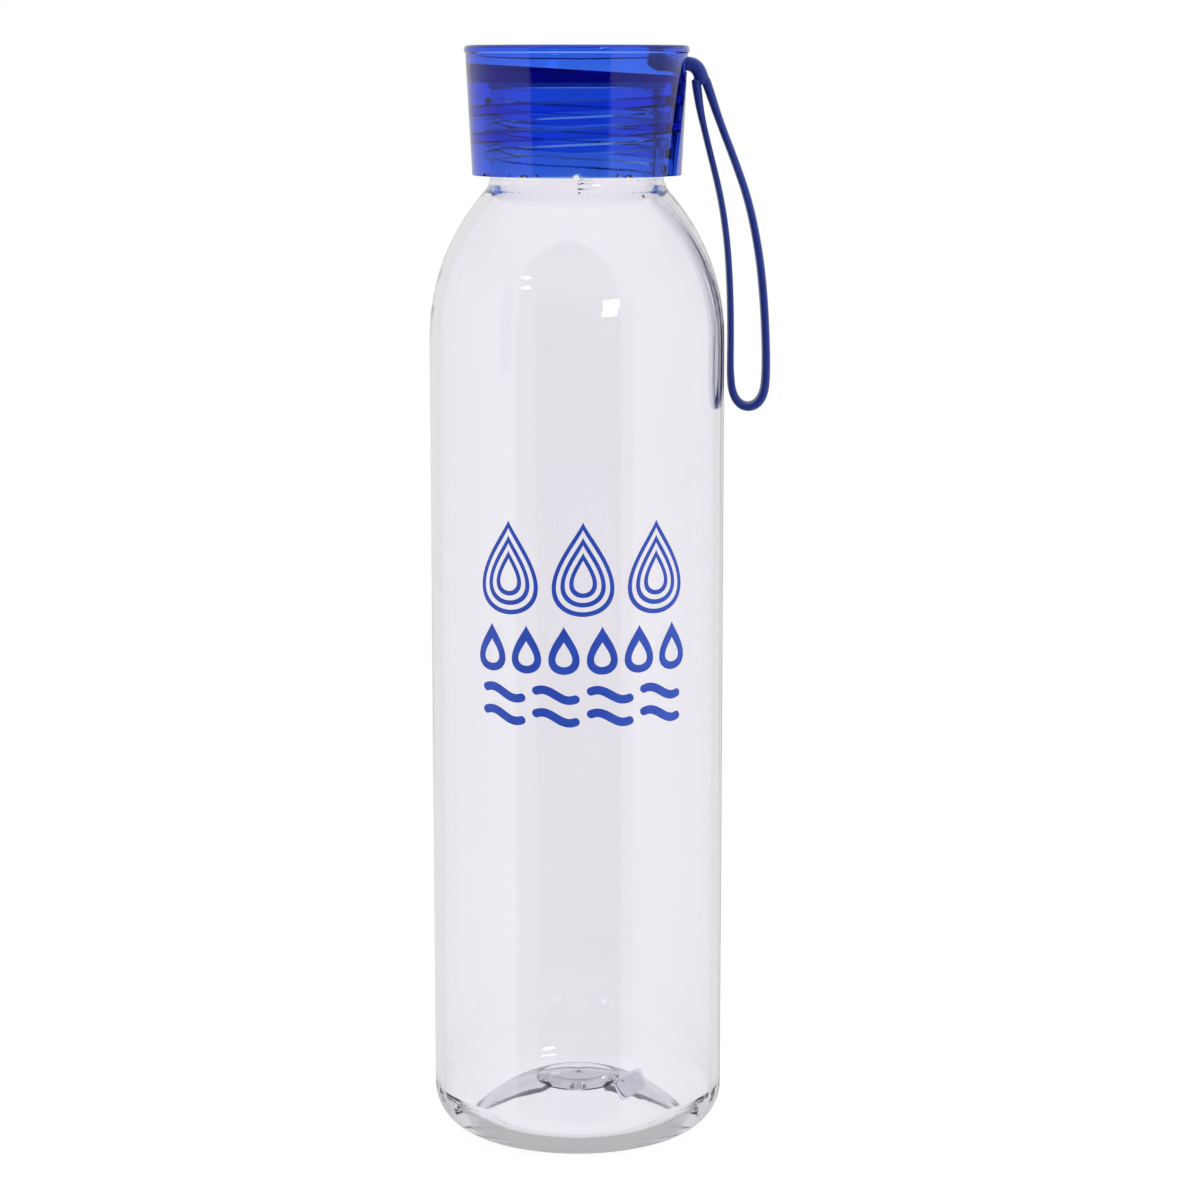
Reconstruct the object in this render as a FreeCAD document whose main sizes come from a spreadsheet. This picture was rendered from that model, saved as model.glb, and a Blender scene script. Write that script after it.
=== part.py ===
"""Clear drinking bottle with a screw lid and a hanging carry strap.

The frame has +Z up the bottle's axis and its origin in the middle of the ring that the bottle stands on.
The strap hangs on the +X side. All lengths are millimetres and all angles are degrees.
"""

import math
import os
import re

import FreeCAD
import Part
import Sketcher

# Driving dimensions: alias, value, what it is.
DIMENSIONS = [
    ("body_radius", 33.5, "outside of the straight wall"),
    ("wall", 2.0, "thickness of the blown wall"),
    ("foot_inner", 24.0, "standing ring, inner radius"),
    ("foot_outer", 25.5, "standing ring, outer radius"),
    ("foot_height", 9.5, "height where the rounded foot meets the wall"),
    ("foot_round", 9.9, "radius of the rounded foot"),
    ("dome_height", 9.0, "rise of the pushed-up base at its step"),
    ("dome_step_radius", 9.2, "radius of the raised disc in the base"),
    ("dome_spread", 1.6, "reach of the dome's arc over the span from the disc to the foot"),
    ("dome_step", 0.5, "depth of that disc"),
    ("gate_radius", 1.3, "moulding stub in the middle of the base"),
    ("gate_length", 0.9, "how far the stub stands down"),
    ("floor_thickness", 2.8, "thickness of the base in the middle"),
    ("floor_low_radius", 24.2, "radius of the lowest ring of the inside floor"),
    ("floor_low_height", 2.5, "height of that ring"),
    ("floor_corner_height", 10.4, "height where the inside floor meets the wall"),
    ("floor_corner_round", 9.0, "radius of the inside corner"),
    ("shoulder_start", 184.4, "height where the shoulder leaves the wall"),
    ("neck_base", 218.8, "height where the shoulder meets the neck"),
    ("neck_radius", 19.6, "outside of the neck"),
    ("neck_fillet", 5.5, "hollow rounding between the shoulder and the neck"),
    ("bore_fillet", 4.0, "rounding of the inside edge between the shoulder and the bore"),
    ("bore_radius", 17.4, "inside of the neck"),
    ("rim_height", 240.9, "top of the bottle's rim"),
    ("rim_round", 0.8, "rounding of the rim's two edges"),
    ("pitch", 6.0, "rise of both threads in one turn"),
    ("thread_root", 2.6, "height of a thread at its root"),
    ("thread_crest", 1.5, "height of a thread at its crest"),
    ("neck_thread_start", 222.8, "middle of the neck thread where it begins"),
    ("neck_thread_rise", 15.0, "rise of the neck thread from end to end"),
    ("neck_thread_radius", 21.0, "crest of the neck thread"),
    ("lid_thread_start", 226.25, "middle of the lid thread where it begins"),
    ("lid_thread_rise", 12.0, "rise of the lid thread from end to end"),
    ("lid_thread_radius", 20.05, "crest of the lid thread"),
    ("thread_bury", 0.25, "how far a thread's root goes into its wall"),
    ("lid_bottom", 221.1, "lower edge of the lid"),
    ("lid_top", 249.9, "top of the lid's rim"),
    ("lid_low_radius", 23.6, "outside of the lid at its lower edge"),
    ("lid_high_radius", 25.0, "outside of the lid under its rim"),
    ("lid_rim_height", 1.8, "height of the lid's rim bead"),
    ("lid_rim_out", 0.3, "how far the bead stands out"),
    ("lid_rim_round", 0.85, "rounding of the bead"),
    ("lid_bore", 21.6, "inside of the lid's skirt"),
    ("recess_radius", 22.8, "inside of the recess on top of the lid"),
    ("deck_bottom", 241.8, "flat underside of the deck"),
    ("deck_low", 243.1, "top of the deck on the strap side"),
    ("deck_high", 246.0, "top of the deck on the far side"),
    ("edge_marks", 12, "half-round marks along the lower edge"),
    ("edge_mark_radius", 0.7, "radius of each mark"),
    ("slot_bottom", 243.95, "strap slot, lower edge"),
    ("slot_top", 247.55, "strap slot, upper edge"),
    ("slot_width", 7.2, "strap slot, width"),
    ("seal_gap", 0.04, "gap at each face of the seal, so that it can slide"),
    ("seal_outer", 19.9, "seal, outer radius"),
    ("seal_inner", 17.7, "seal, inner radius"),
    ("strap_width", 6.4, "width of the strap's band"),
    ("strap_thickness", 1.6, "thickness of the strap's band"),
    ("head_width", 9.2, "width of the strap's button head"),
    ("head_x", 17.7, "upper lobe of the head, distance from the axis"),
    ("head_z", 247.55, "upper lobe, height"),
    ("head_radius", 2.0, "upper lobe, radius"),
    ("lobe_x", 19.3, "lower lobe, distance from the axis"),
    ("lobe_z", 246.5, "lower lobe, height"),
    ("lobe_radius", 1.75, "lower lobe, radius"),
    ("stem_bottom", 244.3, "stem through the slot, lower face"),
    ("stem_top", 247.2, "stem, upper face"),
    ("stem_end", 24.9, "where the stem starts to bend down"),
    ("knuckle_x", 27.7, "fork of the strap, distance from the axis"),
    ("knuckle_z", 243.0, "fork of the strap, height"),
    ("knuckle_radius", 1.85, "radius of the fork"),
    ("knuckle_overlap", 0.55, "how far the stem reaches into the fork"),
    ("tab_angle", 47.0, "where the tab's upper face meets the fork, above level"),
]

# Middle of the strap's free loop in the plane y = 0, from the fork down the inner leg and up the outer one.
LOOP_ROUTE = [
    (26.9, 240.7), (27.8, 234.7), (30.1, 225.5), (32.5, 216.0), (34.0, 206.0),
    (34.7, 195.2), (34.9, 184.8), (34.8, 176.6), (35.3, 171.6), (37.4, 168.8),
    (40.5, 168.8), (42.6, 171.6), (43.0, 176.8), (42.8, 185.4), (42.2, 194.8),
    (41.1, 204.2), (38.8, 215.2), (35.4, 224.7), (32.0, 233.2), (29.5, 240.6),
]
ARC_SHARE = 0.45  # share of the shorter run that a corner's arc uses up

SHEET = "dimensions"
NODES = {
    "bottle_body": "Bottle",
    "screw_lid": "Lid",
    "seal_ring": "Seal",
    "strap_anchor": "Anchor",
    "strap_loop": "Loop",
}

doc = FreeCAD.newDocument("DrinkingBottle")


def fill_sheet():
    """Write the driving dimensions, their aliases and their notes into the spreadsheet."""
    sheet = doc.addObject("Spreadsheet::Sheet", SHEET)
    for row, (alias, value, note) in enumerate(DIMENSIONS, start=1):
        sheet.set(f"A{row}", alias)
        sheet.set(f"B{row}", str(value))
        sheet.set(f"C{row}", note)
        sheet.setAlias(f"B{row}", alias)
    doc.recompute()


def bound(expression):
    """Put the sheet's name before each alias in an expression."""
    aliases = {alias for alias, _, _ in DIMENSIONS}
    return re.sub(
        r"[a-z_]+",
        lambda word: f"{SHEET}.{word[0]}" if word[0] in aliases else word[0],
        expression,
    )


def new_body(name):
    """Make an empty body."""
    return doc.addObject("PartDesign::Body", name)


def origin_plane(body, role):
    """Return one of a body's own origin planes, such as XZ_Plane."""
    return next(f for f in body.Origin.OriginFeatures if f.Role == role)


def new_sketch(body, name, role="XZ_Plane"):
    """Make an empty sketch on one of the body's origin planes."""
    sketch = body.newObject("Sketcher::SketchObject", name)
    sketch.AttachmentSupport = [(origin_plane(body, role), "")]
    sketch.MapMode = "FlatFace"
    return sketch


def value_of(sketch, expression):
    """Evaluate an expression on the sheet as a plain number."""
    result = sketch.evalExpression(bound(expression))
    return float(getattr(result, "Value", result))


def arc_between(start, end, radius, side):
    """Return the arc from start to end whose middle bulges to the left (side 1) or right (side -1)."""
    chord = end - start
    half = chord.Length / 2
    left = FreeCAD.Vector(-chord.y, chord.x, 0).normalize()
    sagitta = radius - math.sqrt(radius * radius - half * half)
    middle = (start + end) / 2 + left * sagitta * side
    return Part.Arc(start, middle, end)


def pin_point(sketch, geometry, end, x, y):
    """Fix a point of the sketch at two expressions."""
    for kind, expression in (("DistanceX", x), ("DistanceY", y)):
        number = value_of(sketch, expression)
        index = sketch.addConstraint(Sketcher.Constraint(kind, -1, 1, geometry, end, number))
        sketch.setExpression(f"Constraints[{index}]", bound(expression))


def closed_outline(sketch, corners):
    """Draw a closed outline.

    Each corner is (x, y) or (x, y, radius, side): the edge that leaves it is straight, or an arc.
    """
    places = [FreeCAD.Vector(value_of(sketch, c[0]), value_of(sketch, c[1]), 0) for c in corners]
    for i, corner in enumerate(corners):
        start = places[i]
        end = places[(i + 1) % len(places)]
        if len(corner) == 2:
            sketch.addGeometry(Part.LineSegment(start, end))
        else:
            radius = value_of(sketch, corner[2])
            sketch.addGeometry(arc_between(start, end, radius, corner[3]))
    for i, corner in enumerate(corners):
        following = (i + 1) % len(corners)
        sketch.addConstraint(Sketcher.Constraint("Coincident", i, edge_end(sketch, i, places[following]),
                                                 following, edge_end(sketch, following, places[following])))
        pin_point(sketch, i, edge_end(sketch, i, places[i]), corner[0], corner[1])
    for i, corner in enumerate(corners):
        if len(corner) == 4:
            index = sketch.addConstraint(Sketcher.Constraint("Radius", i, value_of(sketch, corner[2])))
            sketch.setExpression(f"Constraints[{index}]", bound(corner[2]))


def edge_end(sketch, geometry, place):
    """Say which end of an edge, 1 or 2, lies at a place."""
    return 1 if (sketch.getPoint(geometry, 1) - place).Length < 1e-6 else 2


def circle(sketch, x, y, radius):
    """Draw a circle whose centre and radius are expressions."""
    centre = FreeCAD.Vector(value_of(sketch, x), value_of(sketch, y), 0)
    number = value_of(sketch, radius)
    geometry = sketch.addGeometry(Part.Circle(centre, FreeCAD.Vector(0, 0, 1), number))
    pin_point(sketch, geometry, 3, x, y)
    index = sketch.addConstraint(Sketcher.Constraint("Radius", geometry, number))
    sketch.setExpression(f"Constraints[{index}]", bound(radius))


def turned(body, name, sketch, kind="Revolution"):
    """Revolve or groove a sketch once round the Z axis."""
    feature = body.newObject(f"PartDesign::{kind}", name)
    feature.Profile = sketch
    feature.ReferenceAxis = (sketch, ["V_Axis"])
    feature.Angle = 360
    doc.recompute()
    return feature


def padded(body, name, sketch, length):
    """Pad a sketch by half the length to each side of its plane."""
    feature = body.newObject("PartDesign::Pad", name)
    feature.Profile = sketch
    feature.SideType = "Symmetric"
    feature.setExpression("Length", bound(length))
    doc.recompute()
    return feature


def threaded(body, name, sketch, rise):
    """Sweep a thread's section up a right-hand helix round the Z axis."""
    feature = body.newObject("PartDesign::AdditiveHelix", name)
    feature.Profile = sketch
    feature.ReferenceAxis = (sketch, ["V_Axis"])
    feature.Mode = "pitch-height-angle"
    feature.setExpression("Pitch", bound("pitch"))
    feature.setExpression("Height", bound(rise))
    feature.LeftHanded = False
    doc.recompute()
    return feature


def rounded(body, name, edges, radius):
    """Fillet the edges of the body's last feature."""
    base = body.Tip
    feature = body.newObject("PartDesign::Fillet", name)
    feature.Base = (base, edges)
    feature.setExpression("Radius", bound(radius))
    doc.recompute()
    return feature


def ring_edges(shape, radius, height):
    """Name the round edges about the Z axis at a radius and height."""
    names = []
    for number, edge in enumerate(shape.Edges, start=1):
        if edge.Degenerated:
            continue
        curve = edge.Curve
        if isinstance(curve, Part.Circle) and abs(curve.Radius - radius) < 0.01:
            if abs(curve.Center.z - height) < 0.01 and math.hypot(curve.Center.x, curve.Center.y) < 0.01:
                names.append(f"Edge{number}")
    return names


def size(alias):
    """Read one dimension from the sheet."""
    return float(doc.getObject(SHEET).get(alias))


def thread_section(body, name, wall, crest, start):
    """Draw a thread's tapered section, from inside its wall to its crest, about its starting height."""
    sketch = new_sketch(body, name)
    closed_outline(sketch, [
        (wall, f"{start} - thread_root / 2"),
        (crest, f"{start} - thread_crest / 2"),
        (crest, f"{start} + thread_crest / 2"),
        (wall, f"{start} + thread_root / 2"),
    ])
    return sketch


def make_bottle():
    """Blown bottle: domed foot, straight wall, arched shoulder and threaded neck."""
    body = new_body("Bottle")
    arch = "( ( body_radius - neck_radius ) ^ 2 + ( neck_base - shoulder_start ) ^ 2 )"
    arch = f"( {arch} / ( 2 * ( body_radius - neck_radius ) ) )"
    inner_arch = f"( {arch} - wall )"
    bore_meets = f"shoulder_start + sqrt( {inner_arch} ^ 2 - ( bore_radius - body_radius + {arch} ) ^ 2 )"
    dome_reach = "( dome_spread * ( foot_inner - dome_step_radius ) )"
    dome_round = f"( {dome_reach} ^ 2 + dome_height ^ 2 ) / ( 2 * dome_height )"
    floor_top = "dome_height + dome_step + floor_thickness"
    floor_rise = f"( {floor_top} - floor_low_height )"
    floor_round = f"( floor_low_radius ^ 2 + {floor_rise} ^ 2 ) / ( 2 * {floor_rise} )"
    section = new_sketch(body, "BottleSection")
    closed_outline(section, [
        ("0", "dome_height + dome_step - gate_length"),
        ("gate_radius", "dome_height + dome_step - gate_length"),
        ("gate_radius", "dome_height + dome_step"),
        ("dome_step_radius", "dome_height + dome_step"),
        ("dome_step_radius", "dome_height", dome_round, 1),
        ("foot_inner", "0"),
        ("foot_outer", "0", "foot_round", -1),
        ("body_radius", "foot_height"),
        ("body_radius", "shoulder_start", arch, -1),
        ("neck_radius", "neck_base"),
        ("neck_radius", "rim_height"),
        ("bore_radius", "rim_height"),
        ("bore_radius", bore_meets, inner_arch, 1),
        ("body_radius - wall", "shoulder_start"),
        ("body_radius - wall", "floor_corner_height", "floor_corner_round", 1),
        ("floor_low_radius", "floor_low_height", floor_round, -1),
        ("0", floor_top),
    ])
    shell = turned(body, "BottleShell", section)
    top = size("rim_height")
    edges = ring_edges(shell.Shape, size("neck_radius"), top)
    edges += ring_edges(shell.Shape, size("bore_radius"), top)
    rounded(body, "RimRounding", edges, "rim_round")
    crease = ring_edges(body.Tip.Shape, size("neck_radius"), size("neck_base"))
    rounded(body, "NeckFillet", crease, "neck_fillet")
    edge = ring_edges(body.Tip.Shape, size("bore_radius"), value_of(section, bore_meets))
    rounded(body, "BoreFillet", edge, "bore_fillet")
    profile = thread_section(body, "NeckThreadSection", "neck_radius - thread_bury",
                             "neck_thread_radius", "neck_thread_start")
    threaded(body, "NeckThread", profile, "neck_thread_rise")
    return body


def make_lid():
    """Moulded lid: tapered skirt with an inside thread, slanting deck, recess, strap slot and edge marks."""
    body = new_body("Lid")
    section = new_sketch(body, "LidSection")
    closed_outline(section, [
        ("lid_bore", "lid_bottom"),
        ("lid_low_radius", "lid_bottom"),
        ("lid_high_radius", "lid_top - lid_rim_height"),
        ("lid_high_radius + lid_rim_out", "lid_top - lid_rim_height + lid_rim_out"),
        ("lid_high_radius + lid_rim_out", "lid_top - lid_rim_round", "lid_rim_round", -1),
        ("lid_high_radius + lid_rim_out - lid_rim_round", "lid_top"),
        ("recess_radius + lid_rim_round", "lid_top", "lid_rim_round", -1),
        ("recess_radius", "lid_top - lid_rim_round"),
        ("recess_radius", "deck_low"),
        ("0", "deck_low"),
        ("0", "deck_bottom"),
        ("lid_bore", "deck_bottom"),
    ])
    turned(body, "LidShell", section)

    wedge = new_sketch(body, "DeckSlope")
    closed_outline(wedge, [
        ("0 - lid_low_radius", "deck_low - ( deck_low - deck_bottom ) / 2"),
        ("lid_low_radius", "deck_low - ( deck_low - deck_bottom ) / 2"),
        ("lid_low_radius", "deck_low"),
        ("0 - lid_low_radius", "deck_high"),
    ])
    padded(body, "DeckWedge", wedge, "2 * lid_low_radius")

    outside = new_sketch(body, "OutsideTrimSection")
    closed_outline(outside, [
        ("lid_low_radius", "lid_bottom"),
        ("2 * body_radius", "lid_bottom"),
        ("2 * body_radius", "lid_top - lid_rim_height"),
        ("lid_high_radius", "lid_top - lid_rim_height"),
    ])
    turned(body, "OutsideTrim", outside, "Groove")

    opening = new_sketch(body, "StrapSlotShape", "YZ_Plane")
    closed_outline(opening, [
        ("0 - slot_width / 2", "slot_bottom"),
        ("slot_width / 2", "slot_bottom"),
        ("slot_width / 2", "slot_top"),
        ("0 - slot_width / 2", "slot_top"),
    ])
    cut_along_x(body, "StrapSlot", opening, "body_radius")

    mark = new_sketch(body, "EdgeMarkShape", "YZ_Plane")
    circle(mark, "0", "lid_bottom", "edge_mark_radius")
    pocket = cut_along_x(body, "EdgeMark", mark, "body_radius")
    marks = body.newObject("PartDesign::PolarPattern", "EdgeMarks")
    marks.Originals = [pocket]
    marks.Axis = (section, ["V_Axis"])
    marks.Angle = 360
    marks.setExpression("Occurrences", bound("edge_marks"))
    body.Tip = marks
    doc.recompute()

    profile = thread_section(body, "LidThreadSection", "lid_bore + thread_bury",
                             "lid_thread_radius", "lid_thread_start")
    threaded(body, "LidThread", profile, "lid_thread_rise")
    return body


def cut_along_x(body, name, sketch, length):
    """Pocket a sketch on the YZ plane out along +X, and make sure that it cuts something."""
    before = body.Tip.Shape.Volume
    feature = body.newObject("PartDesign::Pocket", name)
    feature.Profile = sketch
    feature.Reversed = True
    feature.setExpression("Length", bound(length))
    doc.recompute()
    if feature.Shape.Volume >= before - 1e-3:
        raise RuntimeError(f"{name} cuts nothing")
    return feature


def make_seal():
    """Flat ring between the bottle's rim and the lid's deck."""
    body = new_body("Seal")
    section = new_sketch(body, "SealSection")
    closed_outline(section, [
        ("seal_inner", "rim_height + seal_gap"),
        ("seal_outer", "rim_height + seal_gap"),
        ("seal_outer", "deck_bottom - seal_gap"),
        ("seal_inner", "deck_bottom - seal_gap"),
    ])
    turned(body, "SealRing", section)
    return body


def make_anchor():
    """Strap's fixed end: two-lobed button head, stem through the slot and tab down to the fork."""
    body = new_body("Anchor")
    stem = new_sketch(body, "StemShape")
    closed_outline(stem, [
        ("head_x", "stem_bottom + knuckle_radius / 2"),
        ("lobe_x", "stem_bottom"),
        ("stem_end + knuckle_overlap", "stem_bottom"),
        ("knuckle_x - knuckle_radius", "knuckle_z", "knuckle_radius", -1),
        ("knuckle_x", "knuckle_z - knuckle_radius", "knuckle_radius", -1),
        ("knuckle_x + knuckle_radius", "knuckle_z", "knuckle_radius", -1),
        ("knuckle_x + knuckle_radius * cos( tab_angle * 1deg )",
         "knuckle_z + knuckle_radius * sin( tab_angle * 1deg )"),
        ("stem_end", "stem_top"),
        ("head_x", "stem_top"),
    ])
    padded(body, "Stem", stem, "strap_width")
    head = new_sketch(body, "HeadShape")
    circle(head, "head_x", "head_z", "head_radius")
    padded(body, "Head", head, "head_width")
    lobe = new_sketch(body, "LobeShape")
    circle(lobe, "lobe_x", "lobe_z", "lobe_radius")
    padded(body, "Lobe", lobe, "head_width")
    return body


def tangent_arcs(route):
    """Join straight runs with the largest tangent arcs they allow; return the edges and the radii."""
    places = [FreeCAD.Vector(x, 0, z) for x, z in route]
    edges = []
    radii = []
    start = places[0]
    for before, corner, after in zip(places, places[1:], places[2:]):
        inward = (before - corner).normalize()
        onward = (after - corner).normalize()
        half_turn = (math.pi - inward.getAngle(onward)) / 2
        cut = ARC_SHARE * min((before - corner).Length, (after - corner).Length)
        radius = cut / math.tan(half_turn)
        radii.append(radius)
        bisector = (inward + onward).normalize()
        middle = corner + bisector * (radius / math.cos(half_turn) - radius)
        enters = corner + inward * cut
        leaves = corner + onward * cut
        edges.append(Part.LineSegment(start, enters).toShape())
        edges.append(Part.Arc(enters, middle, leaves).toShape())
        start = leaves
    edges.append(Part.LineSegment(start, places[-1]).toShape())
    return edges, radii


def make_loop():
    """Strap's free loop: one flat band, bent in the plane y = 0."""
    edges, radii = tangent_arcs(LOOP_ROUTE)
    path = Part.Wire(edges)
    half_width = size("strap_width") / 2
    half_thick = size("strap_thickness") / 2
    start = FreeCAD.Vector(LOOP_ROUTE[0][0], 0, LOOP_ROUTE[0][1])
    along = path.Edges[0].tangentAt(path.Edges[0].FirstParameter)
    across = FreeCAD.Vector(0, 1, 0)
    out = along.cross(across)
    corners = [start + across * half_width * a + out * half_thick * b
               for a, b in ((-1, -1), (1, -1), (1, 1), (-1, 1), (-1, -1))]
    section = Part.makePolygon(corners)
    band = path.makePipeShell([section], True, True)
    print("strap radii:", " ".join(f"{radius:.1f}" for radius in radii))
    print(f"strap length {path.Length:.1f}, volume {band.Volume:.1f},",
          f"section times length {4 * half_width * half_thick * path.Length:.1f}")
    loop = doc.addObject("Part::Feature", "Loop")
    loop.Shape = band
    loop.Placement = FreeCAD.Placement()
    return loop


def check(objects):
    """Stop if any object failed, or if a sub-part's shape is empty or invalid."""
    for item in doc.Objects:
        if "Invalid" in item.State or "Error" in item.State:
            raise RuntimeError(f"{item.Name} failed: {item.State}")
    for node, item in objects.items():
        if item.Shape.isNull() or not item.Shape.isValid():
            raise RuntimeError(f"{node} has no valid shape")
        print(f"{node}: {len(item.Shape.Solids)} solid, {item.Shape.Volume / 1000:.2f} cm3")


def write(objects):
    """Write each sub-part to its own file."""
    os.makedirs("parts", exist_ok=True)
    for node, item in objects.items():
        item.Shape.exportStep(f"parts/{node}.step")


def main():
    """Build, check and write the whole object."""
    fill_sheet()
    makers = (make_bottle, make_lid, make_seal, make_anchor, make_loop)
    for maker in makers:
        maker()
    doc.recompute()
    objects = {}
    for node, name in NODES.items():
        item = doc.getObject(name)
        item.Label = node
        objects[node] = item
    check(objects)
    write(objects)


main()
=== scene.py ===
"""Looks of a clear drinking bottle with a translucent blue screw lid and a soft carry strap.

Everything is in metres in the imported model's frame: +Z up the bottle's axis, the strap on +X, the printed
side towards -Y.
"""

import logging
import math
from dataclasses import dataclass
from enum import Enum
from typing import Any

import bpy
import numpy as np
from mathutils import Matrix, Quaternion, Vector

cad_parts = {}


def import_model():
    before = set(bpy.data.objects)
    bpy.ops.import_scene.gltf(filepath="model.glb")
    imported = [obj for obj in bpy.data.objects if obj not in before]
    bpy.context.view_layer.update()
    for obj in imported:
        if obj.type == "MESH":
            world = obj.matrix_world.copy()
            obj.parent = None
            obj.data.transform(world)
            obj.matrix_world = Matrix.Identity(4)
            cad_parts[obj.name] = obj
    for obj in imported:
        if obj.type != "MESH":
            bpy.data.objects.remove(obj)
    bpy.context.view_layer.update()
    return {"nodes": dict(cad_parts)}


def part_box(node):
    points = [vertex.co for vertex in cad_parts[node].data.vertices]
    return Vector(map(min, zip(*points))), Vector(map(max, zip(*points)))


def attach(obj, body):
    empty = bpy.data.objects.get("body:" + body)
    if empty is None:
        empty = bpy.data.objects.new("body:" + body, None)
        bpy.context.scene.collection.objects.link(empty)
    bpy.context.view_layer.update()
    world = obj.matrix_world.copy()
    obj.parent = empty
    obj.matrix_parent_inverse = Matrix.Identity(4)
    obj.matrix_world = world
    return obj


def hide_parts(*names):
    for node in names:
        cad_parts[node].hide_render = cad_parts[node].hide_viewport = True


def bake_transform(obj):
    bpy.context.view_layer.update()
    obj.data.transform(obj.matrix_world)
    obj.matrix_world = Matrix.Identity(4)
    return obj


LOG = logging.getLogger("bottle")
MM = 0.001
Array = np.ndarray
Colour = tuple[float, float, float, float]


class Slot(Enum):
    """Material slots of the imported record."""

    CLEAR = "clear_copolyester"
    BLUE = "lid_blue"
    SEAL = "seal_silicone"
    STRAP = "strap_silicone"


class Body(Enum):
    """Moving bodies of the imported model."""

    BOTTLE = "bottle"
    LID = "lid"
    STRAP = "strap"


# ---------------------------------------------------------------- shader maths


class Value:
    """A number socket that builds Math nodes when it is used in an expression."""

    def __init__(self, graph: "Graph", socket: bpy.types.NodeSocket) -> None:
        """Keep the graph and the socket."""
        self.graph = graph
        self.socket = socket

    def _math(self, operation: str, first: Any, second: Any) -> "Value":
        """Add one Math node.

        Args:
            operation: The Math node's operation.
            first: Value or number on the left.
            second: Value or number on the right.

        Returns:
            The node's result.
        """
        return self.graph.value("ShaderNodeMath", {"operation": operation}, {0: first, 1: second})

    def __add__(self, other: Any) -> "Value":
        """Return self + other."""
        return self._math("ADD", self, other)

    def __radd__(self, other: Any) -> "Value":
        """Return other + self."""
        return self._math("ADD", other, self)

    def __sub__(self, other: Any) -> "Value":
        """Return self - other."""
        return self._math("SUBTRACT", self, other)

    def __rsub__(self, other: Any) -> "Value":
        """Return other - self."""
        return self._math("SUBTRACT", other, self)

    def __mul__(self, other: Any) -> "Value":
        """Return self * other."""
        return self._math("MULTIPLY", self, other)

    def __rmul__(self, other: Any) -> "Value":
        """Return other * self."""
        return self._math("MULTIPLY", other, self)

    def size(self) -> "Value":
        """Return self without its sign."""
        return self._math("ABSOLUTE", self, 0.0)

    def turn(self, across: "Value") -> "Value":
        """Return the angle whose tangent is self over across, in radians."""
        return self._math("ARCTAN2", self, across)

    def above(self, threshold: float, softness: float) -> "Value":
        """Return 0 below a threshold and 1 above it, with a smooth step between.

        Args:
            threshold: Where the step is half way up.
            softness: How far below and above it the step begins and ends.

        Returns:
            The step.
        """
        return self.graph.value(
            "ShaderNodeMapRange",
            {"interpolation_type": "SMOOTHSTEP"},
            {"Value": self, "From Min": threshold - softness, "From Max": threshold + softness},
        )


class Graph:
    """A node tree that nodes, values and colours are added to."""

    def __init__(self, tree: bpy.types.NodeTree) -> None:
        """Keep the tree."""
        self.tree = tree

    def node(self, kind: str, settings: dict[str, Any], inputs: dict[Any, Any]) -> bpy.types.Node:
        """Add a node.

        Args:
            kind: Blender's node type.
            settings: Attributes of the node, set first.
            inputs: Socket name or number to a number, a colour, a socket or a Value.

        Returns:
            The new node.
        """
        made = self.tree.nodes.new(kind)
        for key, setting in settings.items():
            setattr(made, key, setting)
        for key, given in inputs.items():
            self.put(made.inputs[key], given)
        return made

    def put(self, socket: bpy.types.NodeSocket, given: Any) -> None:
        """Link or set a socket.

        Args:
            socket: The input socket.
            given: A Value or socket to link, or a number or colour to set.
        """
        source = given.socket if isinstance(given, Value) else given
        if isinstance(source, bpy.types.NodeSocket):
            self.tree.links.new(source, socket)
        else:
            socket.default_value = source

    def value(self, kind: str, settings: dict[str, Any], inputs: dict[Any, Any], out: Any = 0) -> Value:
        """Add a node and return one of its outputs as a Value."""
        return Value(self, self.node(kind, settings, inputs).outputs[out])

    def place(self, scale: tuple[float, float, float]) -> bpy.types.NodeSocket:
        """Return Object coordinates times a scale.

        Args:
            scale: Grains of a pattern in one metre, along each axis.

        Returns:
            The scaled coordinates.
        """
        coordinates = self.node("ShaderNodeTexCoord", {}, {}).outputs["Object"]
        mapping = self.node("ShaderNodeMapping", {}, {"Vector": coordinates, "Scale": scale})
        return mapping.outputs["Vector"]

    def noise(self, scale: tuple[float, float, float], detail: float, rough: float = 0.5) -> Value:
        """Return noise on Object coordinates.

        Args:
            scale: Grains in one metre, along each axis.
            detail: How many finer layers are added.
            rough: How strong each finer layer is beside the one before.

        Returns:
            The noise, from 0 to 1.
        """
        return self.value(
            "ShaderNodeTexNoise",
            {},
            {"Vector": self.place(scale), "Scale": 1.0, "Detail": detail, "Roughness": rough},
            "Fac",
        )

    def mix(self, factor: Any, first: Colour, second: Colour) -> bpy.types.NodeSocket:
        """Blend two colours.

        Args:
            factor: 0 for the first colour, 1 for the second.
            first: First colour.
            second: Second colour.

        Returns:
            The blended colour.
        """
        made = self.node("ShaderNodeMix", {"data_type": "RGBA"}, {"Factor": factor})
        self.put(made.inputs[6], first)
        self.put(made.inputs[7], second)
        return made.outputs[2]

    def parts(self, vector: bpy.types.NodeSocket) -> tuple[Value, Value, Value]:
        """Return the three parts of a vector."""
        made = self.node("ShaderNodeSeparateXYZ", {}, {"Vector": vector})
        return tuple(Value(self, made.outputs[axis]) for axis in range(3))


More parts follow.
